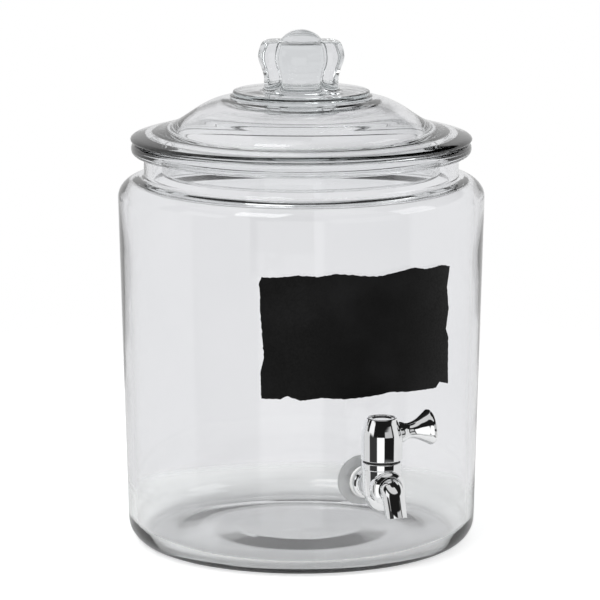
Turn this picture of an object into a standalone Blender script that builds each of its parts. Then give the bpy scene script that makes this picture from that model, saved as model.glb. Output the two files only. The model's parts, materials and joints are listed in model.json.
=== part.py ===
"""Glass drinks dispenser: turned glass jar, pressed glass lid, chalkboard label and a chrome tap.

The jar stands on z = 0 with its axis on the Z axis, and the tap points along -Y.
Sizes are in millimetres here and are turned into metres where a mesh is made.
The tap is closed as built: its lever points along +X.
"""
import math

import bmesh
import bpy
from mathutils import Euler, Matrix, Vector

MM = 0.001
GAP = 0.3            # clearance between pieces that touch or seat on each other
OVERCUT = 1.0        # how far a cutter runs past the face that it cuts through

# Jar
SHOULDER_RADIUS = 118.0
JAR_HEIGHT = 260.6
TAPER = 5.1          # how much narrower the wall is at the foot than at the shoulder
BASE_CORNER = 21.0
SHOULDER_RISE = 13.5
NECK_INSET = 16.7
NECK_HEIGHT = 13.8
BEAD_HEIGHT = 7.8
BEAD_OVERHANG = 8.1
BEAD_DEPTH = 5.6
WALL = 5.4
FLOOR = 6.2
FLOOR_CORNER = 12.0
NECK_WALL = 5.8

# Lid
LID_OVERHANG = 0.4
LID_EDGE = 2.2
FLANGE_WIDTH = 30.3  # from the dome's foot to the lid's edge
DOME_FOOT_RISE = 13.2
DOME_RISE = 28.5
LID_WALL = 5.4
SKIRT_DEPTH = 20.0
SKIRT_GAP = 6.2
SKIRT_WALL = 4.6
STEP_RADIUS = 45.6
COLLAR_RADIUS = 44.0
COLLAR_HEIGHT = 4.6
KNOB_NECK_RADIUS = 23.9
KNOB_RADIUS = 27.6
KNOB_TOP_RADIUS = 24.6
KNOB_HEIGHT = 33.0
KNOB_DOME_RADIUS = 12.8
KNOB_DOME_RISE = 5.9
FLUTES = 4
FLUTE_RADIUS = 4.4
FLUTE_TURN = 24.5    # degrees from +X to the first flute

# Chalkboard label: its outline on the unrolled wall, across (+ right) and up from its middle,
# clockwise from top left
LABEL_DROP = 70.8    # from the shoulder's foot down to the label's middle
LABEL_GAP = 0.3
LABEL_THICK = 0.4
LABEL_MARGIN = 5.0
LABEL_OUTLINE = [
    (-66.5, 37.5), (-53.5, 37.7), (-45.0, 39.0), (-31.2, 38.1), (-20.0, 39.7), (-5.7, 38.0),
    (6.2, 36.6), (33.6, 40.0), (42.8, 38.0), (58.2, 38.8), (64.8, 37.1), (62.4, 24.4),
    (64.5, 9.7), (62.1, -2.6), (64.6, -8.3), (65.3, -38.3), (56.4, -36.0), (53.1, -39.4),
    (28.0, -38.6), (16.8, -37.4), (1.6, -39.0), (-14.0, -39.8), (-28.3, -38.4), (-41.5, -40.0),
    (-49.8, -37.1), (-53.8, -39.2), (-66.2, -39.2), (-66.8, -22.3), (-64.6, -13.7), (-67.1, 15.0),
    (-67.9, 33.9),
]

# What clamps the tap to the wall
INLET_Z = 61.5
SHANK_RADIUS = 7.0
HOLE_CLEARANCE = 1.0
SHANK_TAIL = 4.11    # how far the shank's end stands out of the lock nut
FLANGE_THICK = 4.3
OUTER_WASHER_THICK = 1.5
INNER_WASHER_THICK = 2.8
NUT_THICK = 6.0
NUT_EDGE = 0.6

# Tap, with heights from the inlet's axis
TAP_STANDOFF = 27.49  # from the jar's wall to the axis that the tap turns on
OUTLET_RISE = 4.0
PLUG_RADIUS = 7.2
BARREL_WALL = 4.6
BARREL_FOOT_DROP = 2.2
BAND_RISE = 14.5
BARREL_RISE = 18.7
BAND_DEPTH = 0.4
PLUG_FOOT_DROP = 7.7
PLUG_RISE = 13.7
PORT_RADIUS = 3.6
SEAL_CORD = 1.2
SEAL_SLACK = 0.22    # between a seal and the bore round it
RETAINER_RIM = 2.0
RETAINER_HEIGHT = 4.0
SPANNER_SLOT = (2.0, 2.4)
STEM_RADIUS = 4.5
SQUARE = 6.0
SOCKET_RECESS = 4.4
SOCKET_DEPTH = 7.7
THRUST_THICK = 0.8
HEAD_HEIGHT = 26.2
HEAD_CONE_HEIGHT = 10.3
HEAD_CONE_INSET = 3.45
HEAD_WALL = 2.35
CAP_RIM = 1.4
CAP_SINK = 3.2
SCREW_RADIUS = 1.6
SCREW_HEAD_RADIUS = 3.6
SCREW_HEAD_HEIGHT = 2.8
SCREW_SEAT_WEB = 4.3
LEVER_DROP = 11.3    # from the head's top to where the lever's axis meets the turning axis
LEVER_TILT = 5.5
LEVER_NECK_RADIUS = 5.0
LEVER_END_RADIUS = 11.1
LEVER_LENGTH = 34.0
STUD_RADIUS = 2.2
SPOUT_ROOT_RADIUS = 8.0
SPOUT_TIP_RADIUS = 6.4
SPOUT_BORE = 4.2
SPOUT_BEND = 11.4
SPOUT_STANDOFF = 13.3  # from the barrel's wall to the outlet's axis
SPOUT_DROP = 11.3      # from the inlet's axis to the spout's tip
SPOUT_COLLAR_THICK = 2.2

JAR_STEPS = 40
TAP_STEPS = 24
SMALL_STEPS = 16

# Worked out from the sizes above
BASE_WALL_RADIUS = SHOULDER_RADIUS - TAPER
NECK_RADIUS = SHOULDER_RADIUS - NECK_INSET
NECK_BORE = NECK_RADIUS - NECK_WALL
BEAD_RADIUS = NECK_RADIUS + BEAD_OVERHANG
BEAD_BOTTOM_Z = JAR_HEIGHT - BEAD_HEIGHT
SHOULDER_Z = BEAD_BOTTOM_Z - NECK_HEIGHT - SHOULDER_RISE
LID_RADIUS = BEAD_RADIUS + LID_OVERHANG
DOME_FOOT_RADIUS = LID_RADIUS - FLANGE_WIDTH
LABEL_Z = SHOULDER_Z - LABEL_DROP
HOLE_RADIUS = SHANK_RADIUS + HOLE_CLEARANCE
BOSS_RADIUS = SHANK_RADIUS + 0.9
FLANGE_RADIUS = SHANK_RADIUS + 2.7
OUTER_WASHER_RADIUS = SHANK_RADIUS + 3.6
INNER_WASHER_RADIUS = SHANK_RADIUS + 8.8
NUT_ACROSS_FLATS = 2 * SHANK_RADIUS + 7.0
OUTLET_Z = INLET_Z + OUTLET_RISE
BARREL_RADIUS = PLUG_RADIUS + GAP + BARREL_WALL
BARREL_DOME_RADIUS = BARREL_RADIUS - 1.3
BARREL_FOOT_Z = INLET_Z - BARREL_FOOT_DROP
BAND_RADIUS = BARREL_RADIUS + BAND_DEPTH
BAND_Z = INLET_Z + BAND_RISE
BARREL_TOP_Z = INLET_Z + BARREL_RISE
PLUG_FOOT_Z = INLET_Z - PLUG_FOOT_DROP
PLUG_TOP_Z = INLET_Z + PLUG_RISE
RETAINER_RADIUS = PLUG_RADIUS + RETAINER_RIM
HEAD_RADIUS = BAND_RADIUS + 0.25
HEAD_FOOT_Z = BARREL_TOP_Z + 2 * GAP + THRUST_THICK
HEAD_TOP_Z = HEAD_FOOT_Z + HEAD_HEIGHT
HEAD_SHOULDER_Z = HEAD_TOP_Z - HEAD_CONE_HEIGHT
HEAD_TOP_RADIUS = HEAD_RADIUS - HEAD_CONE_INSET
CAP_RADIUS = HEAD_TOP_RADIUS - CAP_RIM
CAP_SEAT_Z = HEAD_TOP_Z - CAP_SINK
SOCKET_FOOT_Z = HEAD_FOOT_Z + SOCKET_RECESS
STEM_TOP_Z = SOCKET_FOOT_Z + SOCKET_DEPTH
SCREW_SEAT_Z = STEM_TOP_Z + SCREW_SEAT_WEB
LEVER_Z = HEAD_TOP_Z - LEVER_DROP
TAIL_RADIUS = SPOUT_ROOT_RADIUS - 1.8
SPOUT_COLLAR_RADIUS = SPOUT_ROOT_RADIUS + 2.3
SPOUT_BOSS_RADIUS = SPOUT_COLLAR_RADIUS - 0.4
SPOUT_REACH = BARREL_RADIUS + SPOUT_STANDOFF
SPOUT_TIP_Z = INLET_Z - SPOUT_DROP


def wall_radius(z):
    """Outer radius of the jar's tapered wall at height z."""
    share = (z - BASE_CORNER) / (SHOULDER_Z - BASE_CORNER)
    return BASE_WALL_RADIUS + share * TAPER


TAP_REACH = wall_radius(INLET_Z) + TAP_STANDOFF
NUT_BACK = wall_radius(INLET_Z) - WALL - 2 * GAP - INNER_WASHER_THICK - NUT_THICK
SHANK_END = NUT_BACK - SHANK_TAIL


def clear_scene():
    for obj in list(bpy.data.objects):
        bpy.data.objects.remove(obj, do_unlink=True)


def new_collection(name):
    collection = bpy.data.collections.new(name)
    bpy.context.scene.collection.children.link(collection)
    return collection


def new_material(name, colour, roughness, metallic, transmission=0.0):
    material = bpy.data.materials.new(name)
    material.use_nodes = True
    shader = material.node_tree.nodes["Principled BSDF"]
    shader.inputs["Base Color"].default_value = (*colour, 1.0)
    shader.inputs["Roughness"].default_value = roughness
    shader.inputs["Metallic"].default_value = metallic
    shader.inputs["Transmission Weight"].default_value = transmission
    return material


def arc(centre_x, centre_z, radius_x, radius_z, start, end, count):
    """Points on an elliptical arc, with the angles in degrees from +X."""
    points = []
    for i in range(count):
        angle = math.radians(start + (end - start) * i / (count - 1))
        points.append((centre_x + radius_x * math.cos(angle), centre_z + radius_z * math.sin(angle)))
    return points


def place(obj, at=(0.0, 0.0, 0.0), turn=(0.0, 0.0, 0.0), parent=None):
    """Put obj at a point in mm, turned by degrees; under a parent, both are relative to the parent."""
    obj.location = Vector(at) * MM
    obj.rotation_euler = Euler([math.radians(angle) for angle in turn])
    obj.parent = parent
    return obj


def add_object(name, mesh, collection, material=None):
    obj = bpy.data.objects.new(name, mesh)
    collection.objects.link(obj)
    if material:
        mesh.materials.append(material)
        mesh.shade_smooth()
        mesh.set_sharp_from_angle(angle=math.radians(35))
    return obj


def turned(name, profile, steps, collection, material=None, ring=False):
    """A shape turned about its own Z. The profile runs top to bottom down the outer side; a ring's
    profile goes on up its inner side and closes on itself."""
    mesh = bpy.data.meshes.new(name)
    verts = [(x * MM, 0.0, z * MM) for x, z in profile]
    edges = [(i, i + 1) for i in range(len(verts) - 1)]
    if ring:
        edges.append((len(verts) - 1, 0))
    mesh.from_pydata(verts, edges, [])
    obj = add_object(name, mesh, collection, material)
    screw = obj.modifiers.new("turn", "SCREW")
    screw.axis = "Z"
    screw.angle = 2 * math.pi
    screw.steps = steps
    screw.render_steps = steps
    screw.use_smooth_shade = True
    screw.use_merge_vertices = True
    screw.merge_threshold = 0.00001
    return obj


def disc_ring(name, outer, inner, top, bottom, steps, collection, material=None, edge=0.0):
    """A flat ring with its two outer edges rounded off by straight cuts of size edge."""
    profile = [(outer - edge, top), (outer, top - edge), (outer, bottom + edge), (outer - edge, bottom)]
    if not edge:
        profile = [(outer, top), (outer, bottom)]
    profile += [(inner, bottom), (inner, top)]
    return turned(name, profile, steps, collection, material, ring=True)


def rod(name, radius, top, bottom, steps, collection):
    """A plain cylinder along its own Z, closed at both ends."""
    return turned(name, [(0, top), (radius, top), (radius, bottom), (0, bottom)], steps, collection)


def box(name, size, collection, rounded=0.0, along="X"):
    """A box centred on its origin, with the four edges that run along one axis rounded."""
    work = bmesh.new()
    bmesh.ops.create_cube(work, size=1.0, matrix=Matrix.Diagonal((*[side * MM for side in size], 1.0)))
    if rounded:
        axis = Vector([float(along == letter) for letter in "XYZ"])
        edges = [e for e in work.edges if abs((e.verts[1].co - e.verts[0].co).normalized().dot(axis)) > 0.9]
        bmesh.ops.bevel(work, geom=edges, offset=rounded * MM, segments=5, profile=0.5,
                        affect="EDGES", clamp_overlap=True)
    mesh = bpy.data.meshes.new(name)
    work.to_mesh(mesh)
    work.free()
    return add_object(name, mesh, collection)


def boolean(target, tool, operation="DIFFERENCE"):
    """Cut, join or trim target with a tool, which then only guides the shape."""
    tool.hide_render = True
    tool.display_type = "WIRE"
    modifier = target.modifiers.new(tool.name, "BOOLEAN")
    modifier.operation = operation
    modifier.object = tool
    modifier.solver = "EXACT"
    return target


def tube_mesh(name, route, radii, collection):
    """A closed tube along a route of points in mm, as a mesh object with its end caps welded on."""
    curve = bpy.data.curves.new(name, "CURVE")
    curve.dimensions = "3D"
    curve.bevel_depth = MM
    curve.bevel_resolution = 5
    curve.use_fill_caps = True
    spline = curve.splines.new("POLY")
    spline.points.add(len(route) - 1)
    for point, place_mm, radius in zip(spline.points, route, radii):
        point.co = (*[value * MM for value in place_mm], 1.0)
        point.radius = radius
    guide = bpy.data.objects.new(name + "_route", curve)
    collection.objects.link(guide)
    evaluated = guide.evaluated_get(bpy.context.evaluated_depsgraph_get())
    mesh = bpy.data.meshes.new_from_object(evaluated)
    work = bmesh.new()
    work.from_mesh(mesh)
    bmesh.ops.remove_doubles(work, verts=work.verts, dist=0.000001)
    bmesh.ops.recalc_face_normals(work, faces=work.faces)
    work.to_mesh(mesh)
    work.free()
    tube = bpy.data.objects.new(name, mesh)
    tube.matrix_world = guide.matrix_world
    collection.objects.link(tube)
    bpy.data.objects.remove(guide, do_unlink=True)
    return tube


def wall_cone(name, offset, low, high, collection):
    """A solid that follows the jar's wall between two heights, grown by offset."""
    profile = [(0, high), (wall_radius(high) + offset, high), (wall_radius(low) + offset, low), (0, low)]
    return turned(name, profile, JAR_STEPS, collection)


def jar_profile():
    """From the middle of the inner floor up the inside, over the rim and down the outside."""
    rounding = 1.2
    outer = [(BEAD_RADIUS - 1.0, JAR_HEIGHT), (BEAD_RADIUS, JAR_HEIGHT - 1.0)]
    bead_height = JAR_HEIGHT - 1.6 - BEAD_BOTTOM_Z
    outer += arc(BEAD_RADIUS - BEAD_DEPTH, BEAD_BOTTOM_Z + bead_height, BEAD_DEPTH, bead_height, 0, -90, 6)
    neck_foot = SHOULDER_Z + SHOULDER_RISE
    outer += [(NECK_RADIUS + rounding, BEAD_BOTTOM_Z), (NECK_RADIUS, BEAD_BOTTOM_Z - rounding)]
    outer += arc(NECK_RADIUS, SHOULDER_Z, SHOULDER_RADIUS - NECK_RADIUS, SHOULDER_RISE, 85, 0, 8)
    outer += arc(BASE_WALL_RADIUS - BASE_CORNER, BASE_CORNER, BASE_CORNER, BASE_CORNER, 0, -90, 8)
    outer += [(0, 0)]
    floor_radius = BASE_WALL_RADIUS - WALL - FLOOR_CORNER
    inner = [(0, FLOOR)]
    inner += arc(floor_radius, FLOOR + FLOOR_CORNER, FLOOR_CORNER, FLOOR_CORNER, -90, 0, 6)
    inner += [(wall_radius(SHOULDER_Z) - WALL, SHOULDER_Z - 1.0)]
    shoulder_run = SHOULDER_RADIUS - WALL - NECK_BORE - 1.0
    inner += arc(NECK_BORE + 1.0, SHOULDER_Z, shoulder_run, SHOULDER_RISE - WALL + 1.0, 12, 80, 6)
    inner += [(NECK_BORE, neck_foot - 1.0), (NECK_BORE, JAR_HEIGHT - 3.0), (NECK_BORE + 2.0, JAR_HEIGHT)]
    return inner + outer


def make_jar(parts, cutters, glass):
    jar = turned("glass_jar", jar_profile(), JAR_STEPS, parts, glass)
    front = wall_radius(INLET_Z) + WALL
    hole = rod("tap_hole_cutter", HOLE_RADIUS, front, front - 4 * WALL, SMALL_STEPS, cutters)
    place(hole, at=(0, 0, INLET_Z), turn=(90, 0, 0))
    boolean(jar, hole)
    return jar


def slope(start, end, shares):
    """Points between two ends of a slope, at shares (across, down) of its run and its fall."""
    run = end[0] - start[0]
    fall = end[1] - start[1]
    return [(start[0] + across * run, start[1] + down * fall) for across, down in shares]


def dome_points():
    """Outer outline of the lid from the collar's foot down to the rim's bottom edge."""
    seat = JAR_HEIGHT + GAP
    top = (STEP_RADIUS + 3.5, seat + DOME_RISE)
    foot = (DOME_FOOT_RADIUS, seat + DOME_FOOT_RISE)
    points = [top] + slope(top, foot, [(0.25, 0.12), (0.51, 0.37), (0.77, 0.71)]) + [foot]
    edge = (LID_RADIUS - 3.6, seat + 4.6)
    points += slope(foot, edge, [(0.22, 0.34), (0.49, 0.57), (0.79, 0.82)]) + [edge]
    points += [(LID_RADIUS - 1.2, seat + 3.2), (LID_RADIUS, seat + LID_EDGE - 0.6)]
    points += [(LID_RADIUS, seat + 1.0), (LID_RADIUS - 1.0, seat)]
    return points


def knob_points(collar_top):
    """Outer outline of the knob, from the top's centre down to the collar."""
    top = collar_top + KNOB_HEIGHT
    cap_radius = (KNOB_DOME_RADIUS ** 2 + KNOB_DOME_RISE ** 2) / (2 * KNOB_DOME_RISE)
    sweep = math.degrees(math.asin(KNOB_DOME_RADIUS / cap_radius))
    points = arc(0, top + KNOB_DOME_RISE - cap_radius, cap_radius, cap_radius, 90, 90 - sweep, 5)
    points[0] = (0.0, points[0][1])
    points += [(KNOB_DOME_RADIUS + 1.0, top - 0.6), (KNOB_TOP_RADIUS - 2.0, top - 1.2)]
    points += [(KNOB_TOP_RADIUS, top - 2.6), (KNOB_TOP_RADIUS + 1.4, top - 6.5), (KNOB_RADIUS, top - 11.0)]
    points += [(KNOB_RADIUS - 0.3, top - 14.5), (KNOB_NECK_RADIUS + 1.4, top - 19.0)]
    points += [(KNOB_NECK_RADIUS, top - 22.0), (KNOB_NECK_RADIUS, collar_top + 1.5)]
    points += [(KNOB_NECK_RADIUS + 1.5, collar_top)]
    return points


def make_lid(parts, cutters, glass, parent):
    seat = JAR_HEIGHT + GAP
    dome_top = seat + DOME_RISE
    collar_top = dome_top + COLLAR_HEIGHT
    outline = knob_points(collar_top)
    outline += [(COLLAR_RADIUS - 1.0, collar_top), (COLLAR_RADIUS, collar_top - 1.0)]
    outline += [(COLLAR_RADIUS, dome_top + 2.4), (COLLAR_RADIUS - 0.7, dome_top + 1.9)]
    outline += [(STEP_RADIUS, dome_top + 1.4), (STEP_RADIUS, dome_top + 0.6)]
    outline += dome_points()
    skirt = NECK_BORE - SKIRT_GAP
    inner = skirt - SKIRT_WALL
    foot = seat - SKIRT_DEPTH
    outline += [(skirt + 0.6, seat), (skirt, seat - 1.0), (skirt, foot + 1.5), (skirt - 1.2, foot)]
    outline += [(inner + 1.2, foot), (inner, foot + 1.5), (inner, seat + 1.0)]
    hollow_foot = (inner - 5.0, seat + 6.0)
    hollow_top = (STEP_RADIUS - 6.0, dome_top - LID_WALL)
    outline += [hollow_foot] + slope(hollow_foot, hollow_top, [(0.25, 0.39), (0.45, 0.7), (0.7, 0.92)])
    outline += [hollow_top, (0, hollow_top[1])]
    lid = turned("glass_lid", outline, JAR_STEPS, parts, glass)
    place(lid, parent=parent)
    for i in range(FLUTES):
        angle = math.radians(FLUTE_TURN + 360.0 * i / FLUTES)
        flute = rod(f"flute_cutter_{i}", FLUTE_RADIUS, KNOB_HEIGHT + 5.0, 1.5, 16, cutters)
        place(flute, at=(KNOB_RADIUS * math.cos(angle), KNOB_RADIUS * math.sin(angle), collar_top))
        boolean(lid, flute)
    return lid


def make_label(parts, cutters, chalkboard):
    """The label follows the tapered wall; its torn outline is pushed through the wall's front."""
    low = LABEL_Z + min(up for _, up in LABEL_OUTLINE) - LABEL_MARGIN
    high = LABEL_Z + max(up for _, up in LABEL_OUTLINE) + LABEL_MARGIN
    near = LABEL_GAP
    far = LABEL_GAP + LABEL_THICK
    profile = [(wall_radius(high) + far, high), (wall_radius(low) + far, low)]
    profile += [(wall_radius(low) + near, low), (wall_radius(high) + near, high)]
    label = turned("chalkboard_label", profile, JAR_STEPS, parts, chalkboard, ring=True)
    radius = wall_radius((low + high) / 2)
    work = bmesh.new()
    corners = []
    for across, up in LABEL_OUTLINE:
        x = radius * math.sin(across / radius)
        corners.append(work.verts.new((x * MM, -2 * SHOULDER_RADIUS * MM, (LABEL_Z + up) * MM)))
    face = work.faces.new(corners)
    pushed = bmesh.ops.extrude_face_region(work, geom=[face])["geom"]
    moved = [item for item in pushed if isinstance(item, bmesh.types.BMVert)]
    bmesh.ops.translate(work, verts=moved, vec=(0, 2 * SHOULDER_RADIUS * MM, 0))
    bmesh.ops.recalc_face_normals(work, faces=work.faces)
    mesh = bpy.data.meshes.new("label_outline")
    work.to_mesh(mesh)
    work.free()
    outline = add_object("label_outline", mesh, cutters)
    return boolean(label, outline, "INTERSECT")


def make_wall_fittings(parts, cutters, chrome, silicone, steel):
    """What clamps the tap to the wall. These are turned about Z and laid over so that Z becomes -Y."""
    laid = {"at": (0, 0, INLET_Z), "turn": (90, 0, 0)}
    wall_front = wall_radius(INLET_Z)
    washer_front = wall_front + GAP + OUTER_WASHER_THICK
    flange_back = washer_front + GAP
    flange_front = flange_back + FLANGE_THICK
    hole = SHANK_RADIUS + GAP
    outer_washer = disc_ring("outer_washer", OUTER_WASHER_RADIUS, hole, washer_front, wall_front - 3.0,
                             TAP_STEPS, parts, silicone)
    place(outer_washer, **laid)
    reach = INNER_WASHER_RADIUS + 5.0
    boolean(outer_washer, wall_cone("wall_front_cutter", GAP, INLET_Z - reach, INLET_Z + reach, cutters))

    wall_back = wall_front - WALL
    washer_back = wall_back - GAP - INNER_WASHER_THICK
    inner_washer = disc_ring("inner_washer", INNER_WASHER_RADIUS, hole, wall_front, washer_back,
                             TAP_STEPS, parts, silicone)
    place(inner_washer, **laid)
    back_guide = wall_cone("wall_back_guide", -WALL - GAP, INLET_Z - reach, INLET_Z + reach, cutters)
    boolean(inner_washer, back_guide, "INTERSECT")

    flange = turned("wall_flange", [
        (FLANGE_RADIUS - 1.6, flange_front), (FLANGE_RADIUS - 0.5, flange_front - 0.6),
        (FLANGE_RADIUS, flange_front - 1.8), (FLANGE_RADIUS, flange_back),
        (hole, flange_back), (hole, flange_front),
    ], TAP_STEPS, parts, chrome, ring=True)
    place(flange, **laid)

    nut_front = washer_back - GAP
    corner = NUT_ACROSS_FLATS / math.sqrt(3)
    nut = disc_ring("lock_nut", corner - 0.2, hole, nut_front, nut_front - NUT_THICK,
                    TAP_STEPS, parts, steel, edge=NUT_EDGE)
    place(nut, **laid)
    hexagon = rod("nut_hexagon_guide", corner, nut_front + OVERCUT, nut_front - NUT_THICK - OVERCUT,
                  6, cutters)
    place(hexagon, **laid)
    boolean(nut, hexagon, "INTERSECT")
    return flange_front


def make_tap_body(parts, cutters, chrome, shoulder):
    """Barrel with a domed foot, the shank that goes through the wall, and the spout's boss."""
    dome = arc(0, BARREL_FOOT_Z, BARREL_DOME_RADIUS, BARREL_DOME_RADIUS, 0, -90, 7)
    dome[-1] = (0.0, dome[-1][1])
    profile = [(0, BARREL_TOP_Z), (BAND_RADIUS - 0.5, BARREL_TOP_Z), (BAND_RADIUS, BARREL_TOP_Z - 0.5)]
    profile += [(BAND_RADIUS, BAND_Z + 0.5), (BARREL_RADIUS, BAND_Z), (BARREL_RADIUS, BARREL_FOOT_Z + 0.6)]
    body = turned("tap_body", profile + dome, TAP_STEPS, parts, chrome)
    place(body, at=(0, -TAP_REACH, 0))
    axis_wall = TAP_REACH - PLUG_RADIUS - 1.5
    shank = turned("shank_form", [
        (0, axis_wall), (BOSS_RADIUS, axis_wall),
        (BOSS_RADIUS, shoulder + GAP), (SHANK_RADIUS, shoulder + GAP),
        (SHANK_RADIUS, SHANK_END + 0.8), (SHANK_RADIUS - 0.8, SHANK_END), (0, SHANK_END),
    ], TAP_STEPS, cutters)
    place(shank, at=(0, 0, INLET_Z), turn=(90, 0, 0))
    boolean(body, shank, "UNION")
    boss_end = TAP_REACH + BARREL_RADIUS + 0.5
    boss = rod("spout_boss_form", SPOUT_BOSS_RADIUS, boss_end, TAP_REACH, TAP_STEPS, cutters)
    place(boss, at=(0, 0, OUTLET_Z), turn=(90, 0, 0))
    boolean(body, boss, "UNION")

    bore = turned("plug_bore_cutter", [
        (0, BARREL_TOP_Z + OVERCUT), (RETAINER_RADIUS + GAP, BARREL_TOP_Z + OVERCUT),
        (RETAINER_RADIUS + GAP, PLUG_TOP_Z), (PLUG_RADIUS + GAP, PLUG_TOP_Z),
        (PLUG_RADIUS + GAP, PLUG_FOOT_Z - GAP), (0, PLUG_FOOT_Z - GAP),
    ], TAP_STEPS, cutters)
    place(bore, at=(0, -TAP_REACH, 0))
    boolean(body, bore)
    inlet = rod("inlet_cutter", PORT_RADIUS, TAP_REACH - 3.0, SHANK_END - OVERCUT, SMALL_STEPS, cutters)
    place(inlet, at=(0, 0, INLET_Z), turn=(90, 0, 0))
    boolean(body, inlet)
    tail_end = TAP_REACH + PLUG_RADIUS + 1.4
    outlet = turned("outlet_cutter", [
        (0, boss_end + OVERCUT),
        (TAIL_RADIUS + GAP, boss_end + OVERCUT), (TAIL_RADIUS + GAP, tail_end - GAP),
        (PORT_RADIUS, tail_end - GAP), (PORT_RADIUS, TAP_REACH + 3.0), (0, TAP_REACH + 3.0),
    ], SMALL_STEPS, cutters)
    place(outlet, at=(0, 0, OUTLET_Z), turn=(90, 0, 0))
    boolean(body, outlet)
    return boss_end, tail_end


def make_spout(parts, cutters, chrome, rubber, boss_end, tail_end):
    """Collar, seal and the bent spout, whose tail is pressed into the boss."""
    laid = {"at": (0, 0, OUTLET_Z), "turn": (90, 0, 0)}
    collar_back = boss_end + GAP
    collar_front = collar_back + SPOUT_COLLAR_THICK
    collar = disc_ring("spout_collar", SPOUT_COLLAR_RADIUS, SPOUT_ROOT_RADIUS + 2 * GAP, collar_front,
                       collar_back, TAP_STEPS, parts, chrome, edge=0.6)
    place(collar, **laid)

    straight_end = SPOUT_REACH - SPOUT_BEND
    outlet_turn = OUTLET_Z - SPOUT_BEND
    bend = arc(straight_end, outlet_turn, SPOUT_BEND, SPOUT_BEND, 90, 0, 9)
    start = collar_back - TAP_REACH
    centre = [(start, OUTLET_Z)] + bend + [(SPOUT_REACH, SPOUT_TIP_Z)]
    travelled = [0.0]
    for here, there in zip(centre, centre[1:]):
        travelled.append(travelled[-1] + math.dist(here, there))
    narrowing = (SPOUT_ROOT_RADIUS - SPOUT_TIP_RADIUS) / travelled[-1]
    radii = [SPOUT_ROOT_RADIUS - narrowing * run for run in travelled]
    route = [(0, -TAP_REACH - forward, up) for forward, up in centre]
    spout = tube_mesh("outlet_spout", route, radii, parts)
    spout.data.materials.append(chrome)
    groove = tail_end + 1.8
    seal_width = SEAL_CORD + 2 * GAP
    tail = turned("spout_tail_form", [
        (0, collar_back + 2.0), (TAIL_RADIUS, collar_back + 2.0), (TAIL_RADIUS, groove + seal_width / 2),
        (TAIL_RADIUS - 1.2, groove + seal_width / 2), (TAIL_RADIUS - 1.2, groove - seal_width / 2),
        (TAIL_RADIUS, groove - seal_width / 2), (TAIL_RADIUS, tail_end), (0, tail_end),
    ], SMALL_STEPS, cutters)
    place(tail, **laid)
    boolean(spout, tail, "UNION")
    bore_route = [(0, -tail_end + OVERCUT, OUTLET_Z)] + route[1:-1]
    bore_route += [(0, route[-1][1], SPOUT_TIP_Z - OVERCUT)]
    bore = tube_mesh("spout_bore_cutter", bore_route, [SPOUT_BORE] * len(bore_route), cutters)
    boolean(spout, bore)

    seal = ring_seal("spout_seal", TAIL_RADIUS + GAP - SEAL_SLACK - SEAL_CORD / 2, parts, rubber)
    place(seal, at=(0, -groove, OUTLET_Z), turn=(90, 0, 0))


def ring_seal(name, centre_radius, parts, rubber):
    """A round-section rubber ring."""
    bpy.ops.mesh.primitive_torus_add(major_radius=centre_radius * MM, minor_radius=SEAL_CORD / 2 * MM,
                                     major_segments=SMALL_STEPS, minor_segments=8)
    seal = bpy.context.object
    seal.name = name
    seal.data.name = name
    seal.data.materials.append(rubber)
    seal.data.shade_smooth()
    for collection in list(seal.users_collection):
        collection.objects.unlink(seal)
    parts.objects.link(seal)
    return seal


def plug_groove(z):
    """Profile points of a seal's groove in the plug, from its upper edge to its lower edge."""
    half = SEAL_CORD / 2 + GAP
    floor = PLUG_RADIUS - SEAL_CORD - 0.3
    return [(PLUG_RADIUS, z + half), (floor, z + half), (floor, z - half), (PLUG_RADIUS, z - half)]


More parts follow.
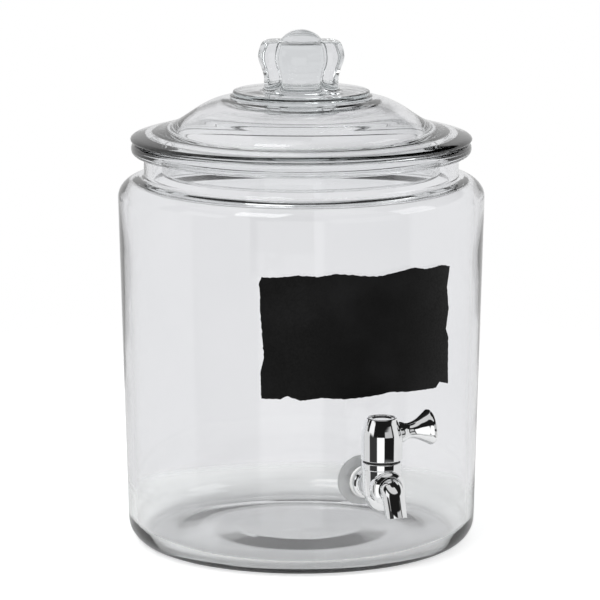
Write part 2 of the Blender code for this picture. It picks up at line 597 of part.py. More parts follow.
def make_valve(parts, cutters, brass, rubber, steel, nylon, turning):
    """Plug with its cross port, two seals, the ring that holds it down and the washer above."""
    slot_low = min(INLET_Z, OUTLET_Z) - PORT_RADIUS
    slot_high = max(INLET_Z, OUTLET_Z) + PORT_RADIUS
    upper_seal = (slot_high + PLUG_TOP_Z) / 2
    lower_seal = (slot_low + PLUG_FOOT_Z) / 2
    profile = [(0, SOCKET_FOOT_Z - 1.0), (STEM_RADIUS, SOCKET_FOOT_Z - 1.0), (STEM_RADIUS, PLUG_TOP_Z)]
    profile += [(PLUG_RADIUS, PLUG_TOP_Z)] + plug_groove(upper_seal) + plug_groove(lower_seal)
    profile += [(PLUG_RADIUS, PLUG_FOOT_Z), (0, PLUG_FOOT_Z)]
    plug = turned("valve_plug", profile, TAP_STEPS, parts, brass)
    place(plug, parent=turning)
    drive_foot = SOCKET_FOOT_Z - 2.0
    drive = box("drive_form", (SQUARE, SQUARE, STEM_TOP_Z - drive_foot), cutters)
    place(drive, at=(0, 0, (STEM_TOP_Z + drive_foot) / 2), parent=turning)
    boolean(plug, drive, "UNION")
    port = box("port_cutter", (3 * PLUG_RADIUS, 2 * PORT_RADIUS, slot_high - slot_low), cutters,
               rounded=PORT_RADIUS - 0.05, along="X")
    place(port, at=(0, 0, (slot_high + slot_low) / 2), parent=turning)
    boolean(plug, port)
    screw_hole = rod("screw_hole_cutter", SCREW_RADIUS + GAP, STEM_TOP_Z + OVERCUT, STEM_TOP_Z - 6.5,
                     SMALL_STEPS, cutters)
    place(screw_hole, parent=turning)
    boolean(plug, screw_hole)

    for name, z in (("plug_seal_upper", upper_seal), ("plug_seal_lower", lower_seal)):
        seal = ring_seal(name, PLUG_RADIUS + GAP - SEAL_SLACK - SEAL_CORD / 2, parts, rubber)
        place(seal, at=(0, 0, z), parent=turning)

    retainer_foot = PLUG_TOP_Z + GAP
    retainer_top = retainer_foot + RETAINER_HEIGHT
    retainer = disc_ring("plug_retainer", RETAINER_RADIUS, STEM_RADIUS + GAP, retainer_top, retainer_foot,
                         TAP_STEPS, parts, steel)
    place(retainer, at=(0, -TAP_REACH, 0))
    slot = box("spanner_slot_cutter", (3 * RETAINER_RADIUS, *SPANNER_SLOT), cutters)
    place(slot, at=(0, -TAP_REACH, retainer_top))
    boolean(retainer, slot)

    thrust = disc_ring("thrust_washer", BARREL_RADIUS - 0.5, STEM_RADIUS + GAP, HEAD_FOOT_Z - GAP,
                       BARREL_TOP_Z + GAP, TAP_STEPS, parts, nylon)
    place(thrust, at=(0, -TAP_REACH, 0))


def head_outline(grow=0.0):
    """Outer side of the handle's head, top to bottom."""
    top = HEAD_TOP_Z + grow
    top_radius = HEAD_TOP_RADIUS + grow
    radius = HEAD_RADIUS + grow
    return [(top_radius - 0.5, top), (top_radius, top - 0.6), (radius - 0.3, HEAD_SHOULDER_Z + 0.9),
            (radius, HEAD_SHOULDER_Z - 0.9), (radius, HEAD_FOOT_Z - grow)]


def make_handle(parts, cutters, chrome, steel, turning):
    """Head, lever, screw and cap. The square socket carries the plug round with the lever."""
    inside = [(HEAD_RADIUS - HEAD_WALL, HEAD_FOOT_Z), (HEAD_RADIUS - HEAD_WALL, SOCKET_FOOT_Z)]
    inside += [(SCREW_RADIUS + GAP, SOCKET_FOOT_Z), (SCREW_RADIUS + GAP, SCREW_SEAT_Z)]
    inside += [(SCREW_HEAD_RADIUS + 2 * GAP, SCREW_SEAT_Z), (SCREW_HEAD_RADIUS + 2 * GAP, CAP_SEAT_Z)]
    inside += [(CAP_RADIUS + GAP, CAP_SEAT_Z), (CAP_RADIUS + GAP, HEAD_TOP_Z)]
    head = turned("handle_head", head_outline() + inside, TAP_STEPS, parts, chrome, ring=True)
    place(head, parent=turning)
    side = SQUARE + 2 * GAP
    socket_top = STEM_TOP_Z + GAP
    socket = box("socket_cutter", (side, side, socket_top - SOCKET_FOOT_Z + OVERCUT), cutters)
    place(socket, at=(0, 0, (socket_top + SOCKET_FOOT_Z - OVERCUT) / 2), parent=turning)
    boolean(head, socket)
    tilt = 90.0 - LEVER_TILT
    stud_start = SCREW_HEAD_RADIUS + 3.4
    stud_hole = rod("stud_hole_cutter", STUD_RADIUS + GAP, HEAD_RADIUS + 4.0, stud_start - GAP,
                    SMALL_STEPS, cutters)
    place(stud_hole, at=(0, 0, LEVER_Z), turn=(0, tilt, 0), parent=turning)
    boolean(head, stud_hole)

    end = LEVER_LENGTH
    lever = turned("lever", [
        (0, end), (LEVER_END_RADIUS - 4.0, end - 0.2), (LEVER_END_RADIUS - 1.3, end - 0.7),
        (LEVER_END_RADIUS - 0.3, end - 1.6), (LEVER_END_RADIUS, end - 2.6),
        (LEVER_END_RADIUS - 0.3, end - 3.6),
        (LEVER_END_RADIUS - 1.5, end - 5.4), (LEVER_NECK_RADIUS + 2.9, end - 8.2),
        (LEVER_NECK_RADIUS + 1.0, end - 11.6), (LEVER_NECK_RADIUS, end - 15.5),
        (LEVER_NECK_RADIUS + 0.3, end - 18.0), (LEVER_NECK_RADIUS + 1.4, end - 20.6),
        (LEVER_NECK_RADIUS + 1.8, HEAD_RADIUS - 2.25), (0, HEAD_RADIUS - 2.25),
    ], TAP_STEPS, parts, chrome)
    place(lever, at=(0, 0, LEVER_Z), turn=(0, tilt, 0), parent=turning)
    head_form = turned("head_form_cutter", [(0, HEAD_TOP_Z + GAP)] + head_outline(GAP)
                       + [(0, HEAD_FOOT_Z - GAP)], TAP_STEPS, cutters)
    place(head_form, parent=turning)
    boolean(lever, head_form)
    stud = rod("stud_form", STUD_RADIUS, HEAD_RADIUS + 3.0, stud_start, SMALL_STEPS, cutters)
    place(stud, at=(0, 0, LEVER_Z), turn=(0, tilt, 0), parent=turning)
    boolean(lever, stud, "UNION")

    head_top = SCREW_SEAT_Z + GAP + SCREW_HEAD_HEIGHT
    screw = turned("handle_screw", [
        (0, head_top), (SCREW_HEAD_RADIUS - 0.6, head_top), (SCREW_HEAD_RADIUS, head_top - 0.9),
        (SCREW_HEAD_RADIUS, SCREW_SEAT_Z + GAP), (SCREW_RADIUS, SCREW_SEAT_Z + GAP),
        (SCREW_RADIUS, STEM_TOP_Z - 5.0),
        (0, STEM_TOP_Z - 5.5),
    ], SMALL_STEPS, parts, steel)
    place(screw, parent=turning)
    driver_slot = box("driver_slot_cutter", (3 * SCREW_HEAD_RADIUS, 0.9, 2.4), cutters)
    place(driver_slot, at=(0, 0, head_top), parent=turning)
    boolean(screw, driver_slot)

    cap_top = HEAD_TOP_Z - 0.6
    cap = turned("top_cap", [
        (0, cap_top - 0.4), (CAP_RADIUS - 1.6, cap_top - 0.3), (CAP_RADIUS - 0.6, cap_top),
        (CAP_RADIUS, cap_top - 0.4), (CAP_RADIUS, CAP_SEAT_Z + GAP), (0, CAP_SEAT_Z + GAP),
    ], TAP_STEPS, parts, chrome)
    place(cap, parent=turning)


def axis_empty(name, at):
    empty = bpy.data.objects.new(name, None)
    bpy.context.scene.collection.objects.link(empty)
    return place(empty, at=at)


def main():
    clear_scene()
    parts = new_collection("glass_drinks_dispenser")
    cutters = new_collection("cutters")
    glass = new_material("clear_glass", (0.93, 0.95, 0.94), 0.03, 0.0, 1.0)
    chalkboard = new_material("chalkboard_black", (0.012, 0.012, 0.013), 0.55, 0.0)
    chrome = new_material("polished_chrome", (0.86, 0.87, 0.88), 0.05, 1.0)
    silicone = new_material("grey_silicone", (0.55, 0.56, 0.55), 0.45, 0.0)
    steel = new_material("stainless_steel", (0.62, 0.62, 0.63), 0.28, 1.0)
    brass = new_material("plug_brass", (0.72, 0.58, 0.31), 0.3, 1.0)
    rubber = new_material("black_rubber", (0.02, 0.02, 0.02), 0.7, 0.0)
    nylon = new_material("black_nylon", (0.03, 0.03, 0.03), 0.4, 0.0)
    lid_axis = axis_empty("lid_axis", (0, 0, 0))
    tap_axis = axis_empty("tap_axis", (0, -TAP_REACH, 0))

    make_jar(parts, cutters, glass)
    make_lid(parts, cutters, glass, lid_axis)
    make_label(parts, cutters, chalkboard)
    shoulder = make_wall_fittings(parts, cutters, chrome, silicone, steel)
    boss_end, tail_end = make_tap_body(parts, cutters, chrome, shoulder)
    make_spout(parts, cutters, chrome, rubber, boss_end, tail_end)
    make_valve(parts, cutters, brass, rubber, steel, nylon, tap_axis)
    make_handle(parts, cutters, chrome, steel, tap_axis)
    bpy.context.view_layer.update()


main()
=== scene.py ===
import json
import math

import bmesh
import bpy
from mathutils import Matrix, Vector, noise


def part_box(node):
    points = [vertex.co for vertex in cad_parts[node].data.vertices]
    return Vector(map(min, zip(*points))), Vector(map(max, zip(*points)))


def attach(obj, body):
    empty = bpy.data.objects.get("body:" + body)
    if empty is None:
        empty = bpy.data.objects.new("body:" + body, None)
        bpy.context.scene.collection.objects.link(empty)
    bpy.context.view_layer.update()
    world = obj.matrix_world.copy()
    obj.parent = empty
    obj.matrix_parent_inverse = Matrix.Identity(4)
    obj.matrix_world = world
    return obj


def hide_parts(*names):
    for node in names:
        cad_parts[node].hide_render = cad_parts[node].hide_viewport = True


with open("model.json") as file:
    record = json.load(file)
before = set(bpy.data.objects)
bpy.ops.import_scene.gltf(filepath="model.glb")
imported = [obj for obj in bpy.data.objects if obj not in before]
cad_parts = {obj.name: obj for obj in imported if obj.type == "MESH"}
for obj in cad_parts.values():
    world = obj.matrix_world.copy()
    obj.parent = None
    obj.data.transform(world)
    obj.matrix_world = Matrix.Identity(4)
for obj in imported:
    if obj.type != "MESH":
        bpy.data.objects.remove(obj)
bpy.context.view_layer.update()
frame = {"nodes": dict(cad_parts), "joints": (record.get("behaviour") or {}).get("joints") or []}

# Looks of a glass drinks dispenser. Sizes are in millimetres, and a mesh is made in metres.
MM = 0.001
GAP = 0.3                # clearance that neighbouring pieces keep
GLASS_STEPS = 216        # steps of a full turn
TAP_STEPS = 96
SMALL_STEPS = 48
FILLET_STEP = math.radians(11)

jar_low, jar_high = [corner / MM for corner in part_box("glass_jar")]
lid_low, lid_high = [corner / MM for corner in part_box("glass_lid")]
tap_hinge = next(joint for joint in frame["joints"] if joint["name"] == "tap_turn")
tap_at = Vector(tap_hinge["pos_m"]) / MM
INLET_Z = (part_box("wall_flange")[0].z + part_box("wall_flange")[1].z) / 2 / MM
OUTLET_Z = (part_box("spout_collar")[0].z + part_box("spout_collar")[1].z) / 2 / MM

# Jar
SHOULDER_RADIUS = jar_high.x
RIM_Z = jar_high.z
TAPER = 5.1
BASE_RADIUS = SHOULDER_RADIUS - TAPER
BASE_CORNER = 21.0
SHOULDER_Z = RIM_Z - 35.1
SHOULDER_RISE = 13.5
NECK_RADIUS = SHOULDER_RADIUS - 16.7
BEAD_RADIUS = NECK_RADIUS + 8.1
BEAD_HEIGHT = 7.8
WALL = 5.4
WALL_HOLE = 8.0          # radius of the hole that the tap's shank passes
NECK_BORE = NECK_RADIUS - 5.8
FLOOR = 6.2
FLOOR_CORNER = 12.0
PUSH_UP = 1.8            # how far the middle of the foot stands clear of the table
PUSH_UP_RADIUS = 62.0

# Lid
LID_RADIUS = lid_high.x
SEAT_Z = RIM_Z + GAP
SKIRT_RADIUS = NECK_BORE - 6.2
SKIRT_WALL = 4.6
DOME_TOP = SEAT_Z + 28.5
COLLAR_TOP = DOME_TOP + 4.6
COLLAR_RADIUS = 44.0
STEP_RADIUS = 45.6
LID_WALL = 5.4
KNOB_TOP = COLLAR_TOP + 33.0
KNOB_NECK = 23.9
KNOB_RADIUS = 27.6
KNOB_EDGE = 24.6
LENS_RADIUS = 12.8
FLUTE_TURN = 24.5        # degrees from +X to the first flute
FLUTE_DEPTH = 6.0
FLUTE_WIDTH = 10.0       # degrees

# Tap
BARREL_FOOT_Z = 59.3
BARREL_TOP_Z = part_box("tap_body")[1].z / MM
BARREL_RADIUS = 12.1
DOME_RADIUS = 10.8
BAND_RADIUS = 12.5
BAND_Z = 76.0
BORE_RADIUS = 7.5
BORE_FOOT = 53.5
RETAINER_RADIUS = 9.5    # widened top of the bore, which takes the slotted ring
RETAINER_FOOT = 75.2
PORT_RADIUS = 3.6
SHANK_RADIUS = 7.0
SHANK_END = 95.0         # distance of the shank's inner end from the jar's axis
THREAD_PITCH = 1.25
SHANK_HOLE = 7.3         # hole of the washers and the flange
BOSS_RADIUS = 10.7
COLLAR_BORE = 7.6
SPOUT_TAIL = 6.2
SPOUT_WALL = 1.9
SPOUT_ROOT = 7.3
SPOUT_TIP = 6.5
SPOUT_BEND = 7.6
SPOUT_TURN = 67.0        # degrees that the spout turns down from level
HEAD_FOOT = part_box("handle_head")[0].z / MM
HEAD_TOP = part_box("handle_head")[1].z / MM
HEAD_RADIUS = 12.75
HEAD_SHOULDER_Z = HEAD_TOP - 10.3
HEAD_TOP_RADIUS = 9.3
CAP_RADIUS = 7.9
CAP_SEAT = HEAD_TOP - 3.2
SKIRT_BORE = 10.4        # hollow in the foot of the head
SCREW_HEAD_BORE = 4.2
SCREW_BORE = 1.9
SOCKET_SIDE = 6.6
SOCKET_FOOT = HEAD_FOOT + 4.4
STEM_TOP = SOCKET_FOOT + 7.7
SCREW_SEAT = STEM_TOP + 4.3
LEVER_Z = 96.5
LEVER_TILT = 5.5
LEVER_NECK = 5.0
LEVER_END = 11.1
LEVER_LENGTH = 34.0

NUT_ACROSS_FLATS = 21.0
NUT_BORE = 6.6
NUT_THICK = 6.0
NUT_CHAMFER = 1.2

# Chalkboard label on the unrolled wall: across (+ right) and up, clockwise from top left
LABEL_OUTLINE = [
    (-66.5, 192.2), (-53.5, 192.4), (-45.0, 193.7), (-31.2, 192.8), (-20.0, 194.4), (-5.7, 192.7),
    (6.2, 191.3), (33.6, 194.7), (42.8, 192.7), (58.2, 193.5), (64.8, 191.8), (62.4, 179.1),
    (64.5, 164.4), (62.1, 152.1), (64.6, 146.4), (65.3, 116.4), (56.4, 118.7), (53.1, 115.3),
    (28.0, 116.1), (16.8, 117.3), (1.6, 115.7), (-14.0, 114.9), (-28.3, 116.3), (-41.5, 114.7),
    (-49.8, 117.6), (-53.8, 115.5), (-66.2, 115.5), (-66.8, 132.4), (-64.6, 141.0), (-67.1, 169.7),
    (-67.9, 188.6),
]
LABEL_THICK = 0.4
LABEL_BACK = 0.05        # clearance between the film and the glass
STRIP = 2.5              # width of the upright strips that the film is bent in

# Camera and studio
CAMERA_TURN = -20.5      # degrees from the front, towards the jar's right side
CAMERA_DISTANCE = 2360.0
CAMERA_HEIGHT = 588.0
AIM_HEIGHT = 155.0
CAMERA_LENS = 222.16
CAMERA_SHIFT = (-0.00217, 0.00508)


# ---------------------------------------------------------------- outlines

def arc(centre_x, centre_z, radius_x, radius_z, start, end, count):
    """Points on an elliptical arc, with the angles in degrees from +X."""
    points = []
    for i in range(count):
        angle = math.radians(start + (end - start) * i / (count - 1))
        points.append((centre_x + radius_x * math.cos(angle), centre_z + radius_z * math.sin(angle)))
    return points


def rounded(corners):
    """An outline through corners (x, z) or (x, z, fillet radius), with each fillet as an arc."""
    points = []
    for i, corner in enumerate(corners):
        here = Vector(corner[:2])
        if len(corner) == 2 or i in (0, len(corners) - 1):
            points.append(tuple(here))
            continue
        back = Vector(corners[i - 1][:2]) - here
        on = Vector(corners[i + 1][:2]) - here
        between = back.angle(on)
        turn = math.pi - between
        if turn < FILLET_STEP / 4:
            points.append(tuple(here))
            continue
        run = min(corner[2] / math.tan(between / 2), 0.49 * back.length, 0.49 * on.length)
        radius = run * math.tan(between / 2)
        centre = here + (back.normalized() + on.normalized()).normalized() * radius / math.sin(between / 2)
        start = here + back.normalized() * run - centre
        sign = 1 if back.x * on.y - back.y * on.x < 0 else -1
        count = max(2, math.ceil(turn / FILLET_STEP))
        for step in range(count + 1):
            angle = sign * turn * step / count
            cos, sin = math.cos(angle), math.sin(angle)
            points.append((centre.x + start.x * cos - start.y * sin,
                           centre.y + start.x * sin + start.y * cos))
    return points


def flowing(points, per_span=5):
    """A smooth curve through the points, with per_span steps between neighbours."""
    ends = [2 * Vector(points[0]) - Vector(points[1])] + [Vector(p) for p in points]
    ends.append(2 * Vector(points[-1]) - Vector(points[-2]))
    smooth = []
    for a, b, c, d in zip(ends, ends[1:], ends[2:], ends[3:]):
        for i in range(per_span):
            t = i / per_span
            p = b + 0.5 * t * (c - a + t * (2 * a - 5 * b + 4 * c - d + t * (3 * (b - c) + d - a)))
            smooth.append(tuple(p))
    return smooth + [tuple(points[-1])]


# ---------------------------------------------------------------- mesh helpers

def finish_mesh(name, work, sharp=40.0):
    """Turn a bmesh into an object with welded points, outward faces and smooth shading."""
    bmesh.ops.remove_doubles(work, verts=work.verts, dist=0.000002)
    bmesh.ops.recalc_face_normals(work, faces=work.faces)
    mesh = bpy.data.meshes.new(name)
    work.to_mesh(mesh)
    work.free()
    mesh.shade_smooth()
    mesh.set_sharp_from_angle(angle=math.radians(sharp))
    obj = bpy.data.objects.new(name, mesh)
    bpy.context.scene.collection.objects.link(obj)
    return obj


def spun(outline, steps, closed=False):
    """A bmesh of an outline (x, z) in mm turned about Z."""
    work = bmesh.new()
    verts = [work.verts.new((x * MM, 0.0, z * MM)) for x, z in outline]
    edges = [work.edges.new(pair) for pair in zip(verts, verts[1:])]
    if closed:
        edges.append(work.edges.new((verts[-1], verts[0])))
    bmesh.ops.spin(work, geom=verts + edges, cent=(0, 0, 0), axis=(0, 0, 1), angle=2 * math.pi,
                   steps=steps, use_merge=True)
    return work


def turned(name, outline, steps=TAP_STEPS, closed=False, at=None, sharp=40.0):
    """A turned piece, put in place by the matrix at."""
    work = spun(outline, steps, closed)
    if at:
        bmesh.ops.transform(work, matrix=at, verts=work.verts)
    return finish_mesh(name, work, sharp)


def upright(x=0.0, y=0.0, z=0.0):
    return Matrix.Translation(Vector((x, y, z)) * MM)


def laid(z):
    """Turned pieces laid over, so that their own Z points out of the jar's front at height z."""
    return Matrix.Translation((0, 0, z * MM)) @ Matrix.Rotation(math.radians(90), 4, "X")


def block(name, size, at):
    work = bmesh.new()
    bmesh.ops.create_cube(work, size=1.0, matrix=at @ Matrix.Diagonal((*[side * MM for side in size], 1.0)))
    return finish_mesh(name, work)


def combine(piece, tool, operation="DIFFERENCE", sharp=40.0):
    """Cut, join or trim a piece with a tool, which is then thrown away."""
    modifier = piece.modifiers.new("combine", "BOOLEAN")
    modifier.operation = operation
    modifier.solver = "EXACT"
    modifier.object = tool
    evaluated = piece.evaluated_get(bpy.context.evaluated_depsgraph_get())
    mesh = bpy.data.meshes.new_from_object(evaluated)
    piece.modifiers.clear()
    old = piece.data
    piece.data = mesh
    bpy.data.meshes.remove(old)
    mesh.name = piece.name
    mesh.shade_smooth()
    mesh.set_sharp_from_angle(angle=math.radians(sharp))
    bpy.data.objects.remove(tool, do_unlink=True)
    return piece


# ---------------------------------------------------------------- shader helpers

def link(tree, source, target):
    tree.links.new(source, target)


def add(tree, kind, **settings):
    node = tree.nodes.new(kind)
    for key, value in settings.items():
        if key in node.bl_rna.properties:
            setattr(node, key, value)
        else:
            node.inputs[key.replace("_", " ")].default_value = value
    return node


def math_node(tree, operation, first, second=None):
    node = add(tree, "ShaderNodeMath", operation=operation)
    for socket, value in zip(node.inputs, (first, second)):
        if value is None:
            continue
        if isinstance(value, (int, float)):
            socket.default_value = value
        else:
            link(tree, value, socket)
    return node.outputs[0]


def stepped(tree, value, low, high, to_low=0.0, to_high=1.0):
    """Map Range from low..high to to_low..to_high, with soft ends."""
    node = add(tree, "ShaderNodeMapRange")
    node.interpolation_type = "SMOOTHSTEP"
    link(tree, value, node.inputs["Value"])
    node.inputs["From Min"].default_value = low
    node.inputs["From Max"].default_value = high
    node.inputs["To Min"].default_value = to_low
    node.inputs["To Max"].default_value = to_high
    return node.outputs["Result"]


def new_group(name, inputs, outputs):
    """A shader node group with named sockets; inputs are (name, type, default)."""
    group = bpy.data.node_groups.new(name, "ShaderNodeTree")
    for socket_name, kind, default in inputs:
        socket = group.interface.new_socket(socket_name, in_out="INPUT", socket_type=kind)
        socket.default_value = default
    for socket_name, kind in outputs:
        group.interface.new_socket(socket_name, in_out="OUTPUT", socket_type=kind)
    return group, group.nodes.new("NodeGroupInput"), group.nodes.new("NodeGroupOutput")


def make_handling_marks():
    """Soft smudges and fine specks that change a polished surface's roughness."""
    group, given, out = new_group(
        "handling_marks",
        [("Scale", "NodeSocketFloat", 40.0), ("Polish", "NodeSocketFloat", 0.03),
         ("Smudge", "NodeSocketFloat", 0.1)],
        [("Roughness", "NodeSocketFloat")],
    )
    where = add(group, "ShaderNodeTexCoord")
    clouds = add(group, "ShaderNodeTexNoise", Detail=4.0, Roughness=0.6)
    specks = add(group, "ShaderNodeTexNoise", Detail=2.0, Roughness=0.5)
    link(group, where.outputs["Object"], clouds.inputs["Vector"])
    link(group, where.outputs["Object"], specks.inputs["Vector"])
    link(group, given.outputs["Scale"], clouds.inputs["Scale"])
    link(group, math_node(group, "MULTIPLY", given.outputs["Scale"], 14.0), specks.inputs["Scale"])
    smears = stepped(group, clouds.outputs["Fac"], 0.5, 0.75)
    dots = stepped(group, specks.outputs["Fac"], 0.62, 0.8)
    mask = math_node(group, "MAXIMUM", smears, math_node(group, "MULTIPLY", dots, 0.5))
    extra = math_node(group, "MULTIPLY", mask, given.outputs["Smudge"])
    link(group, math_node(group, "ADD", extra, given.outputs["Polish"]), out.inputs["Roughness"])
    return group


def make_ripple():
    """The slow waves of pressed glass or thick plating, as a normal."""
    group, given, out = new_group(
        "surface_ripple",
        [("Scale", "NodeSocketFloat", 20.0), ("Depth", "NodeSocketFloat", 0.0002)],
        [("Normal", "NodeSocketVector")],
    )
    where = add(group, "ShaderNodeTexCoord")
    waves = add(group, "ShaderNodeTexNoise", Detail=1.0, Roughness=0.4)
    link(group, where.outputs["Object"], waves.inputs["Vector"])
    link(group, given.outputs["Scale"], waves.inputs["Scale"])
    bump = add(group, "ShaderNodeBump", Strength=1.0)
    link(group, given.outputs["Depth"], bump.inputs["Distance"])
    link(group, waves.outputs["Fac"], bump.inputs["Height"])
    link(group, bump.outputs["Normal"], out.inputs["Normal"])
    return group


def place_group(tree, group, **values):
    node = tree.nodes.new("ShaderNodeGroup")
    node.node_tree = group
    for key, value in values.items():
        node.inputs[key].default_value = value
    return node


def new_material(name, **values):
    """A material with a Principled BSDF whose sockets take the given values."""
    material = bpy.data.materials.new(name)
    material.use_nodes = True
    tree = material.node_tree
    shader = tree.nodes["Principled BSDF"]
    for key, value in values.items():
        socket = shader.inputs[key.replace("_", " ")]
        socket.default_value = (*value, 1.0) if isinstance(value, tuple) else value
    return material, tree, shader


def colour_output(mix):
    return next(socket for socket in mix.outputs if socket.type == "RGBA")


def colour_inputs(mix):
    return [socket for socket in mix.inputs if socket.type == "RGBA"]


def tones_node(tree, factor, dark, light):
    mix = add(tree, "ShaderNodeMix", data_type="RGBA")
    link(tree, factor, mix.inputs["Factor"])
    for socket, tone in zip(colour_inputs(mix), (dark, light)):
        socket.default_value = (*tone, 1.0)
    return colour_output(mix)


def noise_value(tree, scale, detail=3.0, low=0.3, high=0.7):
    where = add(tree, "ShaderNodeTexCoord")
    clouds = add(tree, "ShaderNodeTexNoise", Scale=scale, Detail=detail, Roughness=0.55)
    link(tree, where.outputs["Object"], clouds.inputs["Vector"])
    return stepped(tree, clouds.outputs["Fac"], low, high)


# ---------------------------------------------------------------- materials

marks = make_handling_marks()
ripple = make_ripple()


def make_glass():
    """Soda-lime glass: faintly green, deeper where light runs a long way through it."""
    material, tree, shader = new_material("clear_glass", Roughness=0.0, IOR=1.5, Transmission_Weight=1.0)
    tone = tones_node(tree, noise_value(tree, 12.0), (0.978, 0.982, 0.984), (0.996, 0.998, 1.0))
    link(tree, tone, shader.inputs["Base Color"])
    waves = place_group(tree, ripple, Scale=16.0, Depth=0.0004)
    link(tree, waves.outputs["Normal"], shader.inputs["Normal"])
    depth = add(tree, "ShaderNodeVolumeAbsorption", Density=10.0)
    depth.inputs["Color"].default_value = (0.56, 0.605, 0.605, 1.0)
    link(tree, depth.outputs["Volume"], tree.nodes["Material Output"].inputs["Volume"])
    return material


def make_chalkboard():
    """Matt black chalkboard film with the haze that wiped chalk leaves."""
    material, tree, shader = new_material("chalkboard_black", Specular_IOR_Level=0.18)
    haze = noise_value(tree, 22.0, detail=5.0, low=0.45, high=0.85)
    tone = tones_node(tree, haze, (0.002, 0.002, 0.002), (0.009, 0.009, 0.0095))
    link(tree, tone, shader.inputs["Base Color"])
    grain = noise_value(tree, 900.0, detail=2.0)
    link(tree, stepped(tree, grain, 0.0, 1.0, 0.42, 0.6), shader.inputs["Roughness"])
    bump = add(tree, "ShaderNodeBump", Strength=0.25, Distance=0.0001)
    link(tree, grain, bump.inputs["Height"])
    link(tree, bump.outputs["Normal"], shader.inputs["Normal"])
    return material


def make_metal(name, dark, light, polish, smudge, scale, depth):
    """Metal with a slight drift of tone, handling marks and a slow ripple."""
    material, tree, shader = new_material(name, Metallic=1.0)
    link(tree, tones_node(tree, noise_value(tree, scale), dark, light), shader.inputs["Base Color"])
    wear = place_group(tree, marks, Scale=scale, Polish=polish, Smudge=smudge)
    link(tree, wear.outputs["Roughness"], shader.inputs["Roughness"])
    waves = place_group(tree, ripple, Scale=scale * 4.0, Depth=depth)
    link(tree, waves.outputs["Normal"], shader.inputs["Normal"])
    return material


def make_rubbery(name, dark, light, low, high):
    """Moulded silicone, rubber or nylon: mottled tone and a fine mould texture."""
    material, tree, shader = new_material(name)
    link(tree, tones_node(tree, noise_value(tree, 120.0), dark, light), shader.inputs["Base Color"])
    grain = noise_value(tree, 1500.0, detail=2.0)
    link(tree, stepped(tree, grain, 0.0, 1.0, low, high), shader.inputs["Roughness"])
    bump = add(tree, "ShaderNodeBump", Strength=0.3, Distance=0.0001)
    link(tree, grain, bump.inputs["Height"])
    link(tree, bump.outputs["Normal"], shader.inputs["Normal"])
    return material


materials = {
    "clear_glass": make_glass(),
    "chalkboard_black": make_chalkboard(),
}
# Metals: darkest and lightest tone, polish, smudge, scale of the marks, depth of the ripple
for name, *look in (
    ("polished_chrome", (0.86, 0.87, 0.88), (0.93, 0.935, 0.94), 0.015, 0.05, 60.0, 0.00001),
    ("stainless_steel", (0.55, 0.55, 0.56), (0.66, 0.66, 0.67), 0.22, 0.15, 90.0, 0.00003),
    ("plug_brass", (0.66, 0.5, 0.24), (0.78, 0.63, 0.34), 0.2, 0.2, 90.0, 0.00003),
):
    materials[name] = make_metal(name, *look)
# Moulded pieces: darkest and lightest tone, lowest and highest roughness
for name, *look in (
    ("grey_silicone", (0.88, 0.885, 0.88), (0.93, 0.935, 0.93), 0.4, 0.55),
    ("black_rubber", (0.012, 0.012, 0.012), (0.03, 0.03, 0.03), 0.6, 0.75),
    ("black_nylon", (0.02, 0.02, 0.02), (0.04, 0.04, 0.04), 0.35, 0.5),
):
    materials[name] = make_rubbery(name, *look)


def fit(piece, body, slot, *nodes):
    """Give a piece its finish, its body and the frame nodes that it stands for."""
    piece.data.materials.clear()
    piece.data.materials.append(materials[slot])
    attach(piece, body)
    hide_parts(*nodes)
    return piece


# ---------------------------------------------------------------- jar and lid

def wall_radius(z):
    """Outer radius of the jar's tapered wall at height z."""
    return BASE_RADIUS + TAPER * (z - BASE_CORNER) / (SHOULDER_Z - BASE_CORNER)


def make_jar():
    neck_foot = SHOULDER_Z + SHOULDER_RISE
    outline = rounded([
        (0, PUSH_UP), (PUSH_UP_RADIUS - 4, PUSH_UP, 60), (PUSH_UP_RADIUS + 20, 0, 60),
        (BASE_RADIUS - 0.5, 0, BASE_CORNER), (wall_radius(40), 40),
    ])
    outline += arc(NECK_RADIUS, SHOULDER_Z, SHOULDER_RADIUS - NECK_RADIUS, SHOULDER_RISE, 0, 84, 14)
    outline += rounded([
        (NECK_RADIUS + 1.4, neck_foot - 0.1), (NECK_RADIUS, neck_foot + 0.3, 1.0),
        (NECK_RADIUS, RIM_Z - BEAD_HEIGHT, 1.4), (BEAD_RADIUS, RIM_Z - BEAD_HEIGHT, 5.4),
        (BEAD_RADIUS, RIM_Z, 3.2), (NECK_BORE, RIM_Z, 4.0),
        (NECK_BORE, neck_foot - WALL, 7.0), (SHOULDER_RADIUS - WALL, neck_foot - WALL, 9.5),
        (wall_radius(SHOULDER_Z - 30) - WALL, SHOULDER_Z - 30),
    ])
    outline += rounded([
        (wall_radius(50) - WALL, 50), (BASE_RADIUS - WALL, FLOOR, FLOOR_CORNER),
        (PUSH_UP_RADIUS + 6, FLOOR, 60), (PUSH_UP_RADIUS - 22, FLOOR + 2.0, 60), (0, FLOOR + 2.0),
    ])
    jar = turned("jar_glass", outline, GLASS_STEPS, sharp=60)
    inside, outside = BASE_RADIUS - 12, BASE_RADIUS + 8
    hole = turned("hole", [(0, inside), (WALL_HOLE, inside), (WALL_HOLE, outside), (0, outside)],
                  SMALL_STEPS, at=laid(INLET_Z))
    combine(jar, hole, sharp=60)
    return fit(jar, "jar", "clear_glass", "glass_jar")


